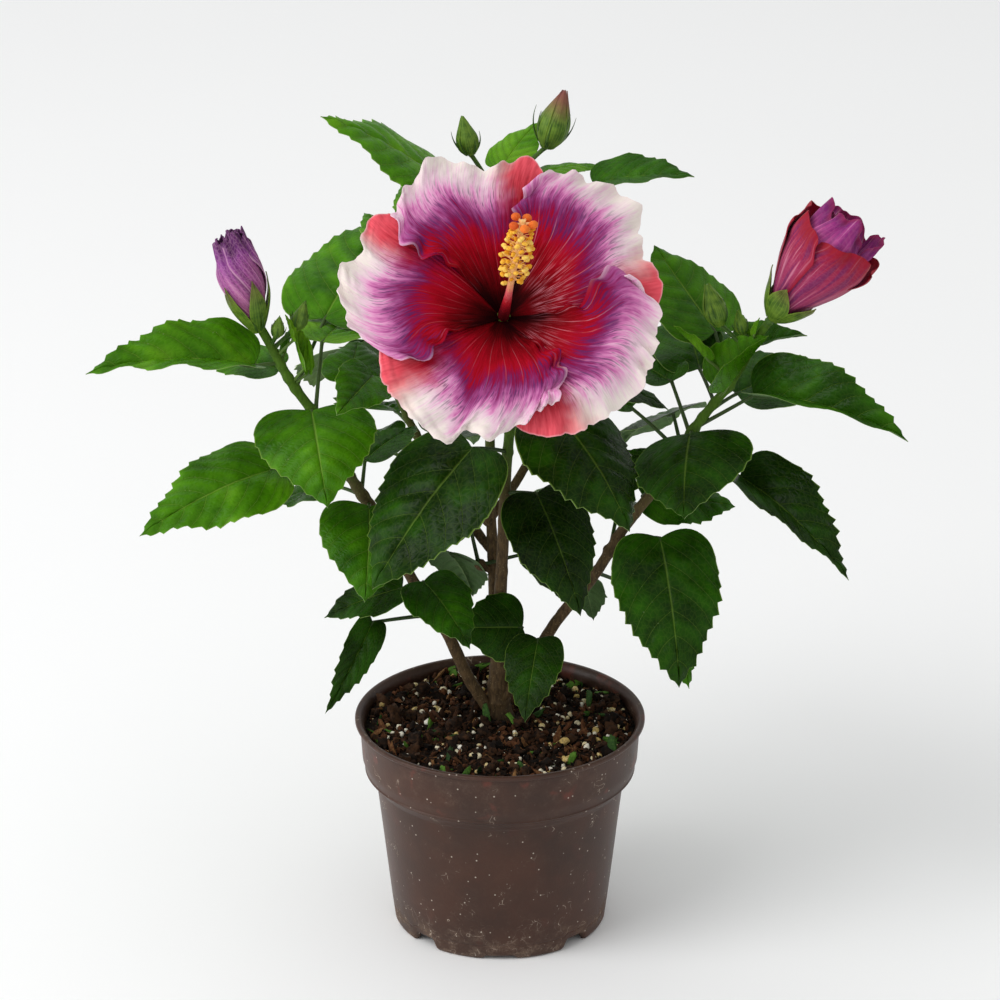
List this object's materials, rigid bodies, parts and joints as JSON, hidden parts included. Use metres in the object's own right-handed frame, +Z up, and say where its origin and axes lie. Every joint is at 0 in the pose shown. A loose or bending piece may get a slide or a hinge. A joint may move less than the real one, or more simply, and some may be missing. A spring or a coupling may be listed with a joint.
{
  "type": "potted hibiscus shrub",
  "caption": "Young hibiscus shrub in a round nursery pot: leafy arching stems, a wide ruffled bloom with its stamen column and furled buds, for a patio or a bright room.",
  "frame": {"origin": "middle of the pot's flat underside, on the surface it stands on", "axes": "+Z up, -Y towards the side the open bloom faces, +X to the right seen from that side"},
  "size_m": [0.4085, 0.2896, 0.4479],
  "materials": {
    "pot_plastic": "moulded brown plastic, dusty and scuffed",
    "potting_mix": "damp peat and bark chips with white grains",
    "bark": "thin grey-brown bark, cracked low down and green at the tips",
    "leaf": "glossy quilted leaf, paler underneath",
    "petal": "thin petal, crimson eye, mauve field, white margin",
    "stamen": "soft column with powdery yellow anthers",
    "bud": "furled petals in a green cup"
  },
  "bodies": {
    "root": {"pot": "pot_plastic", "soil": "potting_mix", "trunk": "bark", "bough_left": "bark", "bough_right": "bark", "bough_front": "bark", "bough_rear": "bark", "bough_back_left": "bark", "bough_back_right": "bark", "foliage_left_low": "leaf", "foliage_left": "leaf", "foliage_right_low": "leaf", "foliage_right": "leaf", "foliage_front_low": "leaf", "foliage_front": "leaf", "foliage_rear_low": "leaf", "foliage_top": "leaf", "foliage_back_left": "leaf", "foliage_back_right": "leaf", "bloom": "petal", "bloom_column": "stamen", "bud_left": "bud", "bud_right": "bud"}
  },
  "joints": []
}
